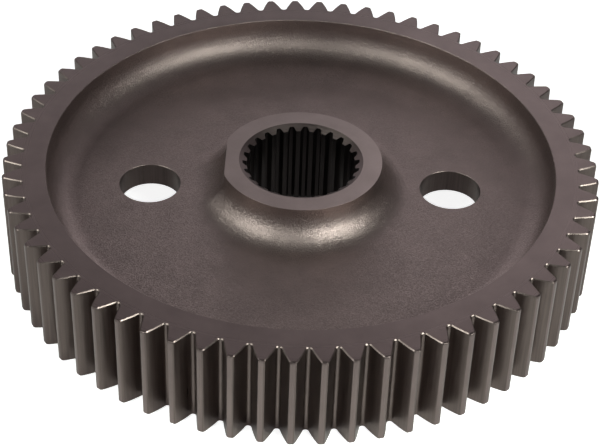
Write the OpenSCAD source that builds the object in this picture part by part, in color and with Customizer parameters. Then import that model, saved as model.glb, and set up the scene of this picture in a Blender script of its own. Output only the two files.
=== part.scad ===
// Spur gear, forged and machined in one piece: a toothed rim on a thin web, with a hub
// that is splined inside, two round holes through the web, and a flat on the hub's side.
// Its axis is Z, and it lies on the lower face of its rim, at Z = 0.

/* [Teeth] */
// Number of teeth
teeth = 67; // [60:1:75]
// Module: the pitch diameter for each tooth
tooth_module = 3.5; // [3.2:0.1:4]
// Pressure angle of the tooth flanks
pressure_a = 25; // [20:0.5:28]
// Height of a tooth above the pitch circle, in modules
addendum = 1; // [0.85:0.05:1.1]
// Depth of a tooth space below the pitch circle, in modules
dedendum = 1.25; // [1.1:0.05:1.35]
// Size of the curve at the foot of each flank
root_curve = 0.8; // [0.3:0.1:1.1]
// Width of the toothed face
face_w = 42; // [39:1:50]
// Chamfer on both ends of the tooth tips
tip_chamfer = 0.6; // [0.3:0.1:1.5]

/* [Rim and web] */
// Thickness of the rim under the teeth
rim_t = 9.5; // [6:0.5:13]
// Depth of the upper recess, from the rim's face to the web
recess_depth = 15.2; // [11:0.2:16]
// Thickness of the web
web_t = 10; // [8:0.2:13]
// Draft of the rim's inner wall
rim_draft = 4; // [1:0.5:8]
// Fillet radius between the rim and the web
rim_fillet_r = 12; // [6:0.5:14]
// Small chamfer that breaks the edges of the rim and the hub
edge_break = 0.5; // [0.2:0.1:1]

/* [Web holes] */
// Number of holes through the web
web_holes = 2; // [1:1:4]
// Diameter of each hole
web_hole_d = 25; // [18:1:30]
// Diameter of the circle that the holes' centres lie on
web_hole_circle = 124; // [116:1:136]
// How far the row of holes is turned from the X axis
web_hole_turn = 1.4; // [-10:0.1:10]
// Chamfer at both ends of each hole
web_hole_chamfer = 0.2; // [0.1:0.1:1]

/* [Hub] */
// Diameter of the hub at its face
hub_d = 66.2; // [60:0.2:72]
// How far each hub face lies inside the rim's face
hub_inset = 1.2; // [0.2:0.1:2]
// Draft of the hub's side
hub_draft = 3; // [1:0.5:8]
// Fillet radius between the hub and the web
hub_fillet_r = 9; // [5:0.5:10]
// Depth of the flat on the hub's side
hub_flat_depth = 2.3; // [0.5:0.1:3]

/* [Spline] */
// Number of slots in the spline
spline_slots = 26; // [20:1:27]
// Module of the spline
spline_module = 1.75; // [1.5:0.05:1.8]
// Pressure angle of the spline
spline_pressure_a = 30; // [28:0.5:32]
// Width of a slot on the spline's pitch circle
slot_w = 3.1; // [2.4:0.1:3.2]
// Depth of a slot outside the pitch circle
slot_depth = 1.25; // [1:0.05:1.4]
// Height of the spline's teeth inside the pitch circle
spline_tooth_h = 0.5; // [0.3:0.05:0.7]
// Chamfer in the two corners of a slot's floor
slot_corner = 0.3; // [0.1:0.1:0.5]
// How far the spline is turned from the X axis
spline_turn = 4; // [-7:0.5:7]
// Width of the lead-in chamfer round the spline's ends
lead_in_w = 3.1; // [2:0.1:4]
// Depth of the lead-in chamfer
lead_in_depth = 2; // [1:0.1:3]

/* [Hidden] */
// Facets that a preview gives a full circle
$fn = 96;
// Straight steps in a fillet, a tooth's flank, its foot curve and a slot's side
fillet_steps = 6;
flank_steps = 2;
foot_steps = 2;
slot_steps = 2;
// How far a cutter runs past the surface that it opens
over = 1;
// The wall that a fillet always leaves straight
least_wall = 1;
// The share of half a tooth space that the curve at a flank's foot may take
widest_foot = 0.95;

// Radii of the tooth form
pitch_r = tooth_module * teeth / 2;
base_r = pitch_r * cos(pressure_a);
tip_r = pitch_r + addendum * tooth_module;
root_r = pitch_r - dedendum * tooth_module;
tooth_pitch_a = 360 / teeth;

// The rim's inner wall, the hub's side and the web's two faces
recess_r = root_r - rim_t;
hub_r = hub_d / 2;
web_top = face_w - recess_depth;
web_bottom = web_top - web_t;
hub_top = face_w - hub_inset;

// Radii of the spline
spline_pitch_r = spline_module * spline_slots / 2;
spline_base_r = spline_pitch_r * cos(spline_pressure_a);
spline_tip_r = spline_pitch_r - spline_tooth_h;
slot_floor_r = spline_pitch_r + slot_depth;

steel = [0.36, 0.32, 0.31];

// The angle for an arc of a circle
function arc_a(length, r) = length / r * 180 / PI;

// The involute function of an angle
function inv(a) = tan(a) * 180 / PI - a;

// Half the angle that a tooth with involute flanks takes up at radius r.
// half_a is that angle on the pitch circle.
function half_tooth_a(r, half_a, pressure, base) =
    half_a + inv(pressure) - inv(acos(min(1, base / r)));

function polar(r, a) = r * [cos(a), sin(a)];

// Points on a circle, from angle a to angle b
function arc(centre, r, a, b) =
    [for (i = [0:fillet_steps]) centre + polar(r, a + (b - a) * i / fillet_steps)];

// A smooth bend from p to q, with its corner at c
function bend(p, c, q) =
    [for (i = [0:foot_steps]) let (t = i / foot_steps)
        (1 - t) * (1 - t) * p + 2 * t * (1 - t) * c + t * t * q];

// One side of a tooth, from its foot outwards, as pairs of a radius and an angle from
// the tooth's middle. It runs past the tip, where the turned blank ends it.
flank_half_a = 90 / teeth;
function flank_a(r) = half_tooth_a(r, flank_half_a, pressure_a, base_r);
half_space = (tooth_pitch_a / 2 - flank_a(root_r)) / arc_a(1, root_r);
foot_curve = min(root_curve, widest_foot * half_space);
flank_foot_r = root_r + foot_curve;
flank_end_r = tip_r + over;
tooth_side = concat(
    bend([root_r, flank_a(root_r) + arc_a(foot_curve, root_r)],
         [root_r, flank_a(root_r)],
         [flank_foot_r, flank_a(flank_foot_r)]),
    [for (i = [1:flank_steps])
        let (r = flank_foot_r + (flank_end_r - flank_foot_r) * i / flank_steps)
            [r, flank_a(r)]]);
side_points = len(tooth_side);

// The whole row of teeth, with one of them in the middle of the front
module tooth_row() {
    polygon([for (i = [0:teeth - 1]) let (middle = i * tooth_pitch_a - 90)
        each concat(
            [for (p = tooth_side) polar(p[0], middle - p[1])],
            [for (k = [1:side_points]) let (p = tooth_side[side_points - k])
                polar(p[0], middle + p[1])])]);
}

// One recess from the hub's edge to the rim's edge, as pairs of a radius and a depth
// below the rim's face
function recess_side(depth) =
    let (
        hub_fillet = min(hub_fillet_r, depth - hub_inset - edge_break - least_wall),
        rim_fillet = min(rim_fillet_r, depth - edge_break - least_wall),
        hub_fillet_at = hub_r + (hub_fillet
            + (depth - hub_inset - hub_fillet) * sin(hub_draft)) / cos(hub_draft),
        rim_fillet_at = recess_r - (rim_fillet
            + (depth - rim_fillet) * sin(rim_draft)) / cos(rim_draft))
    concat(
        [[hub_r - edge_break, hub_inset],
         [hub_r + edge_break * tan(hub_draft), hub_inset + edge_break]],
        arc([hub_fillet_at, depth - hub_fillet], hub_fillet, 180 - hub_draft, 90),
        arc([rim_fillet_at, depth - rim_fillet], rim_fillet, 90, rim_draft),
        [[recess_r - edge_break * tan(rim_draft), edge_break],
         [recess_r + edge_break, 0]]);

upper_side = recess_side(recess_depth);
lower_side = recess_side(web_bottom);

// The turned forging, before its teeth, spline and holes are cut
module blank() {
    rotate_extrude()
        polygon(concat(
            [[0, hub_top]],
            [for (p = upper_side) [p[0], face_w - p[1]]],
            [[tip_r - tip_chamfer, face_w], [tip_r, face_w - tip_chamfer],
             [tip_r, tip_chamfer], [tip_r - tip_chamfer, 0]],
            [for (k = [1:len(lower_side)]) lower_side[len(lower_side) - k]],
            [[0, hub_inset]]));
}

// The space beside the flat on the hub's side, which keeps the hub's draft and fillet
module hub_flat() {
    fillet = min(hub_fillet_r, recess_depth - hub_inset - edge_break - least_wall);
    wall = hub_r - hub_flat_depth;
    side_h = hub_top - web_top;
    fillet_at = wall + (fillet + (side_h - fillet) * sin(hub_draft)) / cos(hub_draft);
    reach = hub_r + fillet + side_h;
    rotate([90, 0, 0])
        linear_extrude(2 * reach, center = true)
            polygon(concat(
                [[-wall + over * tan(hub_draft), hub_top + over]],
                [for (p = arc([fillet_at, web_top + fillet], fillet,
                              180 + hub_draft, 270)) [-p[0], p[1]]],
                [[-reach, web_top], [-reach, hub_top + over]]));
}

// One slot of the spline, with its mouth inside the bore
module spline_slot() {
    half_a = arc_a(slot_w / 2, spline_pitch_r);
    mouth_r = spline_tip_r - over;
    shoulder_r = slot_floor_r - slot_corner;
    side = [for (i = [0:slot_steps])
        let (r = mouth_r + (shoulder_r - mouth_r) * i / slot_steps)
            [r, half_tooth_a(r, half_a, spline_pressure_a, spline_base_r)]];
    floor_a = side[slot_steps][1] - arc_a(slot_corner, slot_floor_r);
    polygon(concat(
        [for (p = side) polar(p[0], -p[1])],
        [polar(slot_floor_r, -floor_a), polar(slot_floor_r, floor_a)],
        [for (k = [0:slot_steps]) let (p = side[slot_steps - k]) polar(p[0], p[1])]));
}

// The lead-in chamfer, as a cone that opens upwards from the plane Z = 0
module lead_in() {
    slope = lead_in_w / lead_in_depth;
    translate([0, 0, -lead_in_depth])
        cylinder(h = lead_in_depth + over, r1 = spline_tip_r,
                 r2 = spline_tip_r + slope * (lead_in_depth + over));
}

// The bore, its slots and the lead-in chamfers
module spline() {
    translate([0, 0, -over])
        linear_extrude(face_w + 2 * over) {
            circle(r = spline_tip_r);
            for (i = [0:spline_slots - 1])
                rotate(spline_turn + i * 360 / spline_slots) spline_slot();
        }
    translate([0, 0, hub_top]) lead_in();
    translate([0, 0, hub_inset]) mirror([0, 0, 1]) lead_in();
}

// One hole through the web, with a chamfer at each end
module web_hole() {
    r = web_hole_d / 2;
    translate([0, 0, web_bottom - over])
        rotate_extrude()
            polygon([[0, 0],
                     [r + web_hole_chamfer + over, 0],
                     [r, over + web_hole_chamfer],
                     [r, over + web_t - web_hole_chamfer],
                     [r + web_hole_chamfer + over, web_t + 2 * over],
                     [0, web_t + 2 * over]]);
}

// The forging with its flat, bore and holes, before the teeth are cut
module turned_part() {
    difference() {
        blank();
        hub_flat();
        spline();
        for (i = [0:web_holes - 1])
            rotate(web_hole_turn + i * 360 / web_holes)
                translate([web_hole_circle / 2, 0, 0])
                    web_hole();
    }
}

module gear() {
    color(steel)
        intersection() {
            turned_part();
            translate([0, 0, -over])
                linear_extrude(face_w + 2 * over)
                    tooth_row();
        }
}

gear();
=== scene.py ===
"""The looks of a forged spur gear: its finish, its broken edges, the light and the camera."""

from math import acos, cos, pi, radians, sin, tan, tau

import bmesh
import bpy
from mathutils import Matrix, Vector


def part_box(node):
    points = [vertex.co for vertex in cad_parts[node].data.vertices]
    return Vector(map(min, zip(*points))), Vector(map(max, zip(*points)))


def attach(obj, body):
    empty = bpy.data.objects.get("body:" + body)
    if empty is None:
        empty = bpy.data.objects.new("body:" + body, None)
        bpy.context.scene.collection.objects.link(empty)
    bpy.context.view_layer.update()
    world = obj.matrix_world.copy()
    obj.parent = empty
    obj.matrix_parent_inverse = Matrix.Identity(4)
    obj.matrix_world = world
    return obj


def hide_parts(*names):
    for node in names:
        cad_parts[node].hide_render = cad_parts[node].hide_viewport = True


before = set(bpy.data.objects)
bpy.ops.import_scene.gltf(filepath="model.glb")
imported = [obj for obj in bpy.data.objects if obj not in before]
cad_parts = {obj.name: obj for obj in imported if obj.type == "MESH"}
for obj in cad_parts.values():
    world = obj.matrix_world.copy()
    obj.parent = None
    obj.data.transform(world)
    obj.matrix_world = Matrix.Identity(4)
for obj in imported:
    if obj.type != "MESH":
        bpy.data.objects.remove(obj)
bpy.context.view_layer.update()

MM = 0.001
Z = Vector((0, 0, 1))
CENTRE = Vector((0, 0, 0))

# Sizes taken from the frame
low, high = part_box("gear")
FACE_W = high[2] - low[2]
TIP_R = -low[1]

# Teeth
TEETH = 67
MODULE = 2 * TIP_R / (TEETH + 2)
PRESSURE_A = radians(25)
DEDENDUM = 1.25 * MODULE
PITCH_R = MODULE * TEETH / 2
ROOT_R = PITCH_R - DEDENDUM
ROOT_CURVE = 0.8 * MM
TIP_CHAMFER = 0.6 * MM
DEBURR = 0.36 * MM
FLANK_STEPS = 6
FOOT_STEPS = 5
TOOTH_A = tau / TEETH
FRONT_A = -pi / 2

# Rim and web
RECESS_R = ROOT_R - 9.5 * MM
RECESS_DEPTH = 15.2 * MM
WEB_T = 10 * MM
RIM_DRAFT = radians(4)
RIM_FILLET_R = 12 * MM
EDGE_BREAK = 0.25 * MM
WEB_TOP = FACE_W - RECESS_DEPTH
WEB_BOTTOM = WEB_TOP - WEB_T
FILLET_STEPS = 14
WEB_BORDER = 1.2 * MM
RIM_STEPS = 4

# Web holes
HOLE_R = 12.5 * MM
HOLE_CIRCLE_R = 62 * MM
HOLE_TURN = radians(1.4)
HOLE_CHAMFER = 0.1 * MM
HOLE_SIDES = 64

# Hub. Its edge is nearly sharp.
HUB_R = 33.1 * MM
HUB_INSET = 1.2 * MM
HUB_DRAFT = radians(3)
HUB_FILLET_R = 12.5 * MM
HUB_EDGE_BREAK = 0.02 * MM
HUB_FLAT_DEPTH = 2.3 * MM
HUB_TOP = FACE_W - HUB_INSET
HUB_STEPS = 10

# Spline
SLOTS = 26
SPLINE_MODULE = 1.75 * MM
SPLINE_PRESSURE_A = radians(30)
SPLINE_PITCH_R = SPLINE_MODULE * SLOTS / 2
SLOT_W = 3.1 * MM
SPLINE_TIP_R = SPLINE_PITCH_R - 0.5 * MM
SLOT_FLOOR_R = SPLINE_PITCH_R + 1.25 * MM
SLOT_CORNER = 0.3 * MM
SLOT_STEPS = 4
SPLINE_TURN = radians(4)
LEAD_IN_W = 3.1 * MM
LEAD_IN_DEPTH = 2 * MM
MOUTH_R = SPLINE_TIP_R + LEAD_IN_W
SLOT_A = tau / SLOTS

# Places of the finishes in the gear's list of materials
TURNED, GROUND, CUT, BROACHED, BLASTED = range(5)

# Limits in choosing parts of the mesh. Edges over SHARP_A are sharp, and points within SAME_PLACE are one.
# A face is upright if the height of its normal is under UPRIGHT. The slacks are those round a tooth's
# lands, below its root and before the first angle of a slice.
SHARP_A = radians(28)
SAME_PLACE = 2e-6
UPRIGHT = 0.5
LAND_SLACK = 0.01 * MM
FOOT_SLACK = 0.1 * MM
START_SLACK = 0.1


def polar(r, a, z=0.0):
    return Vector((r * cos(a), r * sin(a), z))


def radius(v):
    return v.co.xy.length


def angle_round(v):
    """A vertex's angle about the gear's axis, from X."""
    return v.co.xy.angle_signed(Vector((1, 0)))


def verts_of(geom):
    return [g for g in geom if isinstance(g, bmesh.types.BMVert)]


def edges_between(bm, verts):
    return [e for e in bm.edges if e.verts[0] in verts and e.verts[1] in verts]


def involute(a):
    return tan(a) - a


def half_tooth(r, half_a, pressure_a, pitch_r):
    """Half the angle of an involute tooth at radius r, where half_a is that on the pitch circle."""
    base_r = pitch_r * cos(pressure_a)
    return half_a + involute(pressure_a) - involute(acos(min(1, base_r / r)))


def bend(p, corner, q, steps):
    """Points of a smooth bend from p to q."""
    for i in range(steps + 1):
        t = i / steps
        yield tuple((1 - t) ** 2 * a + 2 * t * (1 - t) * c + t * t * b for a, c, b in zip(p, corner, q))


def chain(bm, points):
    """Joins points with edges and returns the vertices."""
    verts = [bm.verts.new(p) for p in points]
    for a, b in zip(verts, verts[1:]):
        bm.edges.new((a, b))
    return verts


def faces_made(bm, before, material):
    """Gives a finish to every face that wasn't there before."""
    for face in bm.faces:
        if face not in before:
            face.material_index = material


def turn_profile(bm, points, start_a, angle, steps, material):
    """Turns a profile of (radius, height) points about the axis."""
    before = set(bm.faces)
    verts = chain(bm, [polar(r, start_a, z) for r, z in points])
    bmesh.ops.spin(bm, geom=verts + edges_between(bm, verts), cent=CENTRE, axis=Z, angle=angle, steps=steps)
    faces_made(bm, before, material)


def repeat_round(bm, count):
    """Repeats a slice of the gear until it closes the circle."""
    geom = bm.verts[:] + bm.edges[:] + bm.faces[:]
    bmesh.ops.spin(bm, geom=geom, cent=CENTRE, axis=Z, angle=tau * (count - 1) / count,
                   steps=count - 1, use_duplicate=True)
    bmesh.ops.remove_doubles(bm, verts=bm.verts[:], dist=SAME_PLACE)


def arc(centre_r, centre_z, r, a, b):
    for i in range(FILLET_STEPS + 1):
        t = a + (b - a) * i / FILLET_STEPS
        yield (centre_r + r * cos(t), centre_z + r * sin(t))


def rim_wall(depth):
    """The rim's inner side from its face to the web, as (radius, depth) points."""
    fillet_r = RECESS_R - (RIM_FILLET_R + (depth - RIM_FILLET_R) * sin(RIM_DRAFT)) / cos(RIM_DRAFT)
    yield (RECESS_R + EDGE_BREAK, 0)
    yield (RECESS_R - EDGE_BREAK * tan(RIM_DRAFT), EDGE_BREAK)
    yield from arc(fillet_r, depth - RIM_FILLET_R, RIM_FILLET_R, RIM_DRAFT, pi / 2)
    yield (fillet_r - WEB_BORDER, depth)


def hub_wall(depth):
    """The hub's outer side from its face to the web, as (radius, depth) points."""
    height = depth - HUB_INSET
    fillet_r = HUB_R + (HUB_FILLET_R + (height - HUB_FILLET_R) * sin(HUB_DRAFT)) / cos(HUB_DRAFT)
    yield (HUB_R - HUB_EDGE_BREAK, HUB_INSET)
    yield (HUB_R + HUB_EDGE_BREAK * tan(HUB_DRAFT), HUB_INSET + HUB_EDGE_BREAK)
    yield from arc(fillet_r, depth - HUB_FILLET_R, HUB_FILLET_R, pi - HUB_DRAFT, pi / 2)
    yield (fillet_r + WEB_BORDER, depth)


def both_sides(wall):
    """A wall of the upper recess and the same wall of the lower one, as (radius, height) points."""
    yield [(r, FACE_W - d) for r, d in wall(RECESS_DEPTH)]
    yield [(r, d) for r, d in wall(WEB_BOTTOM)]


def tooth_outline():
    """Plan of one tooth from the middle of one space to the next, as (radius, angle) pairs."""
    def flank(r):
        return half_tooth(r, pi / 2 / TEETH, PRESSURE_A, PITCH_R)

    foot_r = ROOT_R + ROOT_CURVE
    side = list(bend((ROOT_R, flank(ROOT_R) + ROOT_CURVE / ROOT_R), (ROOT_R, flank(ROOT_R)),
                     (foot_r, flank(foot_r)), FOOT_STEPS))
    for i in range(1, FLANK_STEPS + 1):
        r = foot_r + (TIP_R - foot_r) * i / FLANK_STEPS
        side.append((r, flank(r)))
    side.insert(0, (ROOT_R, TOOTH_A / 2))
    return [(r, -a) for r, a in side] + [(TIP_R, 0)] + [(r, a) for r, a in reversed(side)]


def cut_tooth(bm):
    """One tooth with its share of the rim."""
    outline = [polar(r, FRONT_A + a) for r, a in tooth_outline()]
    start_a = FRONT_A - TOOTH_A / 2
    inner = [polar(RECESS_R + EDGE_BREAK, start_a + TOOTH_A * i / RIM_STEPS) for i in range(RIM_STEPS + 1)]
    plan = bm.faces.new([bm.verts.new(p) for p in outline + inner[::-1]])
    plan.material_index = TURNED
    made = bmesh.ops.extrude_face_region(bm, geom=[plan], use_keep_orig=True)["geom"]
    bmesh.ops.translate(bm, verts=verts_of(made), vec=Z * FACE_W)

    walls = [f for f in bm.faces if abs(f.normal.z) < UPRIGHT]
    cuts = [f for f in walls if min(map(radius, f.verts)) < ROOT_R - FOOT_SLACK]
    bmesh.ops.delete(bm, geom=cuts, context="FACES")
    for face in bm.faces:
        if abs(face.normal.z) < UPRIGHT:
            radii = [radius(v) for v in face.verts]
            land = min(radii) > TIP_R - LAND_SLACK or max(radii) < ROOT_R + LAND_SLACK
            face.material_index = TURNED if land else CUT

    def tip_end(edge):
        flat = abs(edge.verts[0].co.z - edge.verts[1].co.z) < SAME_PLACE
        return flat and all(radius(v) > TIP_R - LAND_SLACK for v in edge.verts)

    bmesh.ops.bevel(bm, geom=[e for e in bm.edges if tip_end(e)], offset=TIP_CHAMFER, offset_type="OFFSET",
                    segments=1, profile=0.5, affect="EDGES", material=-1)
    bm.normal_update()
    sharp = [e for e in bm.edges if len(e.link_faces) == 2 and e.calc_face_angle() > SHARP_A]
    bmesh.ops.bevel(bm, geom=sharp, offset=DEBURR, offset_type="OFFSET", segments=1, profile=0.5,
                    affect="EDGES", material=-1, clamp_overlap=True)
    for points in both_sides(rim_wall):
        turn_profile(bm, points, start_a, TOOTH_A, RIM_STEPS, BLASTED)


def slot_outline():
    """Plan of one slot from the middle of one spline tooth to the next, as (radius, angle) pairs."""
    half_a = SLOT_W / 2 / SPLINE_PITCH_R
    shoulder_r = SLOT_FLOOR_R - SLOT_CORNER
    side = [(SPLINE_TIP_R, SLOT_A / 2)]
    for i in range(SLOT_STEPS + 1):
        r = SPLINE_TIP_R + (shoulder_r - SPLINE_TIP_R) * i / SLOT_STEPS
        side.append((r, half_tooth(r, half_a, SPLINE_PRESSURE_A, SPLINE_PITCH_R)))
    side.append((SLOT_FLOOR_R, side[-1][1] - SLOT_CORNER / SLOT_FLOOR_R))
    return [(r, -a) for r, a in side] + [(r, a) for r, a in reversed(side)]


def lead_in_height(r):
    """How far below the hub's face the lead-in chamfer is at radius r."""
    return (MOUTH_R - r) * LEAD_IN_DEPTH / LEAD_IN_W


def broach_slot(bm):
    """One slot of the spline with its share of the hub."""
    outline = slot_outline()
    start_a = SPLINE_TURN - SLOT_A / 2
    before = set(bm.faces)
    lower = chain(bm, [polar(r, SPLINE_TURN + a, HUB_INSET + lead_in_height(r)) for r, a in outline])
    made = bmesh.ops.extrude_edge_only(bm, edges=edges_between(bm, lower))["geom"]
    for v in verts_of(made):
        v.co.z = HUB_TOP - (v.co.z - HUB_INSET)
    faces_made(bm, before, BROACHED)

    for level in (HUB_INSET, HUB_TOP):
        before = set(bm.faces)
        ends = [e for e in bm.edges if e.is_boundary and
                all(abs(abs(v.co.z - level) - lead_in_height(radius(v))) < SAME_PLACE for v in e.verts)]
        mouth = verts_of(bmesh.ops.extrude_edge_only(bm, edges=ends)["geom"])
        for v in mouth:
            v.co = polar(MOUTH_R, angle_round(v), level)
        faces_made(bm, before, TURNED)
        mouth.sort(key=lambda v: (angle_round(v) - start_a + START_SLACK) % tau)
        rim = [bm.verts.new(polar(HUB_R - HUB_EDGE_BREAK, start_a + SLOT_A * i / HUB_STEPS, level))
               for i in range(HUB_STEPS + 1)]
        bm.faces.new(mouth + rim[::-1]).material_index = GROUND
    for points in both_sides(hub_wall):
        turn_profile(bm, points, start_a, SLOT_A, HUB_STEPS, BLASTED)


def forge_flat(bm):
    """Presses the flat into the hub's side, above the web."""
    for v in bm.verts:
        r = radius(v)
        if v.co.z > WEB_TOP - SAME_PLACE and r > MOUTH_R + MM and v.co.x < HUB_FLAT_DEPTH - r:
            v.co.x = HUB_FLAT_DEPTH - r


def drill_hole(bm, centre):
    """The wall of one web hole with its two chamfers."""
    before = set(bm.faces)
    wide = HOLE_R + HOLE_CHAMFER
    levels = [(wide, WEB_TOP), (HOLE_R, WEB_TOP - HOLE_CHAMFER), (HOLE_R, WEB_BOTTOM + HOLE_CHAMFER),
              (wide, WEB_BOTTOM)]
    ring = bmesh.ops.create_circle(bm, segments=HOLE_SIDES, radius=wide,
                                   matrix=Matrix.Translation(centre + Z * WEB_TOP))["verts"]
    edges = edges_between(bm, ring)
    for (r0, z0), (r1, z1) in zip(levels, levels[1:]):
        made = bmesh.ops.extrude_edge_only(bm, edges=edges)["geom"]
        verts = verts_of(made)
        edges = [g for g in made if isinstance(g, bmesh.types.BMEdge) and all(v in verts for v in g.verts)]
        bmesh.ops.scale(bm, verts=verts, vec=(r1 / r0, r1 / r0, 1), space=Matrix.Translation(-centre))
        bmesh.ops.translate(bm, verts=verts, vec=Z * (z1 - z0))
    faces_made(bm, before, CUT)


def close_web(bm, level):
    """Fills the flat of the web between the fillets, round the holes."""
    before = set(bm.faces)
    edges = [e for e in bm.edges if e.is_boundary and all(abs(v.co.z - level) < SAME_PLACE for v in e.verts)]
    bmesh.ops.triangle_fill(bm, edges=edges, use_beauty=True, normal=Z)
    faces_made(bm, before, BLASTED)


def slice_all_round(cut, count):
    """A mesh of one slice, made by cut and repeated round the axis."""
    bm = bmesh.new()
    cut(bm)
    bmesh.ops.remove_doubles(bm, verts=bm.verts[:], dist=SAME_PLACE)
    repeat_round(bm, count)
    return bm


def join(bm, other):
    """Moves all of another mesh into this one."""
    part = bpy.data.meshes.new("slice")
    other.to_mesh(part)
    other.free()
    bm.from_mesh(part)
    bpy.data.meshes.remove(part)


def make_gear(materials):
    """The whole gear as one piece, with its finishes in the order of TURNED to BLASTED."""
    bm = slice_all_round(cut_tooth, TEETH)
    hub = slice_all_round(broach_slot, SLOTS)
    forge_flat(hub)
    join(bm, hub)
    for turn in (HOLE_TURN, HOLE_TURN + pi):
        drill_hole(bm, polar(HOLE_CIRCLE_R, turn))
    for level in (WEB_TOP, WEB_BOTTOM):
        close_web(bm, level)
    bmesh.ops.remove_doubles(bm, verts=bm.verts[:], dist=SAME_PLACE)
    bmesh.ops.recalc_face_normals(bm, faces=bm.faces[:])
    for face in bm.faces:
        face.smooth = True
    for edge in bm.edges:
        edge.smooth = edge.calc_face_angle(0) < SHARP_A
    mesh = bpy.data.meshes.new("gear_forging")
    bm.to_mesh(mesh)
    bm.free()
    gear = bpy.data.objects.new("gear_forging", mesh)
    bpy.context.collection.objects.link(gear)
    for material in materials:
        mesh.materials.append(material)
    flats = gear.modifiers.new("even flats", "WEIGHTED_NORMAL")
    flats.keep_sharp = True
    return gear


def feed(socket, value):
    """Sets a socket's value, or wires another node's socket into it."""
    if isinstance(value, bpy.types.NodeSocket):
        socket.id_data.links.new(value, socket)
    else:
        socket.default_value = value


def node_adder(tree):
    """A function that adds a node of some kind to the tree, with its settings and what goes into its
    sockets. A socket goes by its name, or by i and its number."""
    def add(kind, settings=None, **wires):
        node = tree.nodes.new("ShaderNode" + kind)
        for key, value in (settings or {}).items():
            setattr(node, key, value)
        for key, value in wires.items():
            numbered = key[0] == "i" and key[1:].isdigit()
            feed(node.inputs[int(key[1:])] if numbered else node.inputs[key], value)
        return node

    return add


def start_material(name):
    """A surface to build on: its material, its shader and a function that adds nodes."""
    material = bpy.data.materials.new(name)
    material.use_nodes = True
    return material, material.node_tree.nodes["Principled BSDF"], node_adder(material.node_tree)


def noise(add, place, pattern):
    """A noise from 0 to 1. Its pattern is a size, the levels of detail and the weight of each next level."""
    size, detail, weight = pattern
    return add("TexNoise", Vector=place, Scale=1 / size, Detail=detail, Roughness=weight).outputs[0]


def finish_steel(shader, add, finish, tone, height):
    """Sets a finish's colour and sheen, broken up by tone and height, which run from 0 to 1, and returns
    the relief that height gives."""
    colour, roughness, depth = finish
    feed(shader.inputs["Metallic"], 1)
    share = add("MapRange", Value=tone, **{"To Min": 1 - TONE_SPREAD, "To Max": 1 + TONE_SPREAD})
    paint = add("VectorMath", {"operation": "SCALE"}, i0=colour, Scale=share.outputs[0])
    feed(shader.inputs["Base Color"], paint.outputs[0])
    sheen = add("MapRange", Value=height, **{"To Min": roughness - ROUGHNESS_SPREAD,
                                             "To Max": roughness + ROUGHNESS_SPREAD})
    feed(shader.inputs["Roughness"], sheen.outputs[0])
    relief = add("Bump", Height=height, Strength=1.0, Distance=depth).outputs[0]
    feed(shader.inputs["Normal"], relief)
    return relief


def turned_face():
    """Fine rings from the lathe, round the gear's axis."""
    material, shader, add = start_material("turned_face")
    place = add("TexCoord").outputs["Object"]
    flat = add("VectorMath", {"operation": "MULTIPLY"}, i0=place, i1=(1, 1, 0))
    out = add("VectorMath", {"operation": "LENGTH"}, i0=flat.outputs[0]).outputs["Value"]
    rings = add("TexNoise", {"noise_dimensions": "1D"}, W=out, Scale=1 / RING_SIZE, Detail=RING_DETAIL)
    finish_steel(shader, add, TURNED_FINISH, noise(add, place, STAINS), rings.outputs[0])
    return material


def ground_face():
    """A fine, even satin."""
    material, shader, add = start_material("ground_face")
    place = add("TexCoord").outputs["Object"]
    finish_steel(shader, add, GROUND_FINISH, noise(add, place, STAINS), noise(add, place, GROUND_GRAIN))
    return material


def streaked_cut(name, finish):
    """Fine streaks along the axis, from the cutter, on the colour of the finish given, which for the flanks
    and the bore is darkened as painted shade.
    """
    material, shader, add = start_material(name)
    place = add("TexCoord").outputs["Object"]
    along = add("VectorMath", {"operation": "MULTIPLY"}, i0=place, i1=(1, 1, STREAK_STRETCH)).outputs[0]
    streaks = add("MapRange", Value=noise(add, along, STREAKS),
                  **{"From Min": STREAK_RANGE[0], "From Max": STREAK_RANGE[1]}).outputs[0]
    finish_steel(shader, add, finish, streaks, streaks)
    return material


def blasted_web():
    """The grain that shot-blasting leaves, with small facets that sparkle."""
    material, shader, add = start_material("blasted_web")
    place = add("TexCoord").outputs["Object"]
    relief = finish_steel(shader, add, WEB_FINISH, noise(add, place, STAINS), noise(add, place, WEB_GRAIN))
    facets = add("TexVoronoi", Vector=place, Scale=1 / FACET_SIZE).outputs["Color"]
    tilt = add("VectorMath", {"operation": "MULTIPLY_ADD"}, i0=facets, i1=(FACET_TILT,) * 3,
               i2=(-FACET_TILT / 2,) * 3)
    lean = add("VectorMath", {"operation": "ADD"}, i0=relief, i1=tilt.outputs[0])
    even = add("VectorMath", {"operation": "NORMALIZE"}, i0=lean.outputs[0])
    feed(shader.inputs["Normal"], even.outputs[0])
    return material


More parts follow.
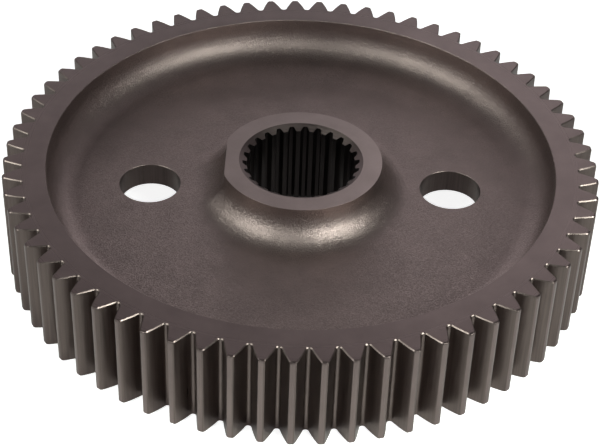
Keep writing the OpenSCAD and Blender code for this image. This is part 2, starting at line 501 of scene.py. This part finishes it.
def white_floor():
    """A pale floor. The camera sees it white, with a faint shadow of the gear."""
    material, shader, add = start_material("white_floor")
    feed(shader.inputs["Base Color"], (FLOOR_COLOUR, FLOOR_COLOUR, FLOOR_COLOUR, 1))
    feed(shader.inputs["Roughness"], FLOOR_ROUGHNESS)
    feed(shader.inputs["Specular IOR Level"], 0)
    feed(shader.inputs["Emission Color"], WHITE)
    path = add("LightPath")
    glossy = add("Math", {"operation": "MULTIPLY"}, i0=path.outputs["Is Glossy Ray"], i1=FLOOR_GLOW_IN_METAL)
    camera = add("Math", {"operation": "MULTIPLY"}, i0=path.outputs["Is Camera Ray"], i1=FLOOR_GLOW)
    glow = add("Math", {"operation": "MAXIMUM"}, i0=camera.outputs[0], i1=glossy.outputs[0])
    feed(shader.inputs["Emission Strength"], glow.outputs[0])
    bm = bmesh.new()
    bmesh.ops.create_grid(bm, x_segments=1, y_segments=1, size=FLOOR_SIZE / 2)
    mesh = bpy.data.meshes.new("floor")
    bm.to_mesh(mesh)
    bm.free()
    mesh.materials.append(material)
    floor = bpy.data.objects.new("floor", mesh)
    bpy.context.collection.objects.link(floor)
    floor.location.z = low[2] - FLOOR_GAP


# Each finish of the steel: its colour, its roughness and the depth of its relief
TURNED_FINISH = ((0.196, 0.154, 0.148), 0.32, 0.02 * MM)
GROUND_FINISH = ((0.29, 0.236, 0.225), 0.36, 0.008 * MM)
# The flank colour is darker than the steel's own. It paints the shade between the teeth and inside the web
# holes; the streaks and roughness are the cut finish.
FLANK_FINISH_PAINTED_SHADE = ((0.15, 0.119, 0.111), 0.36, 0.012 * MM)
# The bore colour is far darker than the steel's own. It paints the shade inside the splined bore; the
# streaks and roughness are the broached finish.
BORE_FINISH_PAINTED_SHADE = ((0.047, 0.04, 0.039), 0.36, 0.012 * MM)
WEB_FINISH = ((0.224, 0.176, 0.168), 0.42, 0.17 * MM)
TONE_SPREAD = 0.24
ROUGHNESS_SPREAD = 0.1

# Each noise: its size, its levels of detail and the weight of each next level
STAINS = (14 * MM, 4, 0.6)
GROUND_GRAIN = (0.55 * MM, 2, 0.5)
WEB_GRAIN = (0.55 * MM, 2, 0.6)
STREAKS = (0.9 * MM, 3, 0.5)
STREAK_STRETCH = 0.03
STREAK_RANGE = (0.2, 0.8)
RING_SIZE = 0.35 * MM
RING_DETAIL = 2
FACET_SIZE = 0.5 * MM
FACET_TILT = 0.19

# Camera: how far it stands from the middle of the upper face, and how that point lies off its axis
CAMERA_TILT = radians(39.137)
CAMERA_ROLL = radians(2.131)
CAMERA_GAP = 689.9 * MM
CAMERA_RISE = 26.68 * MM
CAMERA_SIDE = 0.54 * MM
LENS = 101.57
SENSOR_W = 36
CAMERA_REACH = 20

# Floor. It lies just under the gear, so that their faces don't share a plane, and it glows for the
# camera and, more weakly, in the steel.
WHITE = (1, 1, 1, 1)
FLOOR_SIZE = 8
FLOOR_GAP = 0.02 * MM
FLOOR_COLOUR = 0.72
FLOOR_ROUGHNESS = 0.9
FLOOR_GLOW = 0.88
FLOOR_GLOW_IN_METAL = 0.19

# Light. The room is brighter below the heights of SKY_EDGE than above them, and the lamps in front of
# the gear and behind it have their own colours.
SKY_LOW = 0.33
SKY_HIGH = 0.05
SKY_EDGE = (0.26, 0.5)
SKY_COLOUR = (1, 0.95, 0.98)
FRONT_COLOUR = (0.915, 1, 0.915)
BACK_COLOUR = (1, 0.96, 0.98)

# Each lamp: azimuth and elevation in degrees, distance, width and height in metres, beam in degrees,
# brightness, and the point of the gear that it faces
LAMPS = {"lamp_right": (49, 42, 0.5, 0.3, 0.25, 36, 1.25, (0.045, -0.08)),
         "lamp_left": (-57, 42, 0.5, 0.3, 0.25, 40, 0.64, (0.01, -0.03)),
         "lamp_side": (-90, 35, 1.1, 0.5, 0.5, 180, 2.2, (0, 0)),
         "lamp_back": (180, 14, 1.1, 0.7, 0.35, 180, 1.65, (0, 0)),
         "lamp_back_left": (208, 35, 1.1, 0.5, 0.4, 180, 0.5, (0, 0)),
         "lamp_back_right": (165, 38, 0.5, 0.25, 0.2, 60, 0.1, (0.065, -0.015)),
         "lamp_over": (180, 45, 0.5, 0.25, 0.2, 60, 0.045, (0, -0.06))}


def place_camera():
    data = bpy.data.cameras.new("camera")
    data.lens = LENS
    data.sensor_width = SENSOR_W
    data.clip_end = CAMERA_REACH
    camera = bpy.data.objects.new("camera", data)
    bpy.context.collection.objects.link(camera)
    forward = Vector((0, cos(CAMERA_TILT), -sin(CAMERA_TILT)))
    level = Vector((1, 0, 0))
    up = level.cross(forward)
    right = level * cos(CAMERA_ROLL) + up * sin(CAMERA_ROLL)
    up = up * cos(CAMERA_ROLL) - level * sin(CAMERA_ROLL)
    place = Z * high[2] - right * CAMERA_SIDE - up * CAMERA_RISE - forward * CAMERA_GAP
    turn = Matrix((right, up, -forward)).transposed().to_4x4()
    camera.matrix_world = Matrix.Translation(place) @ turn
    bpy.context.scene.camera = camera


def place_lamp(name, azimuth, elevation, distance, width, height, beam, brightness, aim):
    """A soft lamp that faces a point of the gear. Azimuth 0 is the camera's side."""
    a, e = radians(azimuth), radians(elevation)
    away = Vector((sin(a) * cos(e), -cos(a) * cos(e), sin(e)))
    data = bpy.data.lights.new(name, "AREA")
    data.shape = "RECTANGLE"
    data.size = width
    data.size_y = height
    data.spread = radians(beam)
    data.energy = brightness * pi * width * height
    data.color = FRONT_COLOUR if away.y < 0 else BACK_COLOUR
    lamp = bpy.data.objects.new(name, data)
    bpy.context.collection.objects.link(lamp)
    lamp.location = Vector((*aim, WEB_TOP)) + away * distance
    lamp.rotation_euler = away.to_track_quat("Z", "Y").to_euler()


def light_room():
    """A pale room, brighter low down, which the camera sees as white."""
    world = bpy.data.worlds.new("studio")
    world.use_nodes = True
    add = node_adder(world.node_tree)
    way = add("SeparateXYZ", i0=add("TexCoord").outputs["Generated"]).outputs["Z"]
    level = add("MapRange", {"interpolation_type": "SMOOTHSTEP"}, Value=way,
                **{"From Min": SKY_EDGE[0], "From Max": SKY_EDGE[1], "To Min": SKY_LOW, "To Max": SKY_HIGH})
    sky = add("VectorMath", {"operation": "SCALE"}, i0=SKY_COLOUR, Scale=level.outputs[0]).outputs[0]
    seen = add("Mix", {"data_type": "RGBA"}, i0=add("LightPath").outputs["Is Camera Ray"], i6=sky, i7=WHITE)
    feed(world.node_tree.nodes["Background"].inputs["Color"], seen.outputs[2])
    bpy.context.scene.world = world
    for name, values in LAMPS.items():
        place_lamp(name, *values)


gear = make_gear([turned_face(), ground_face(), streaked_cut("cut_flank_painted_shade", FLANK_FINISH_PAINTED_SHADE),
                  streaked_cut("broached_slot_painted_shade", BORE_FINISH_PAINTED_SHADE), blasted_web()])
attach(gear, "root")
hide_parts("gear")

place_camera()
light_room()
white_floor()
bpy.context.scene.view_settings.view_transform = "Standard"
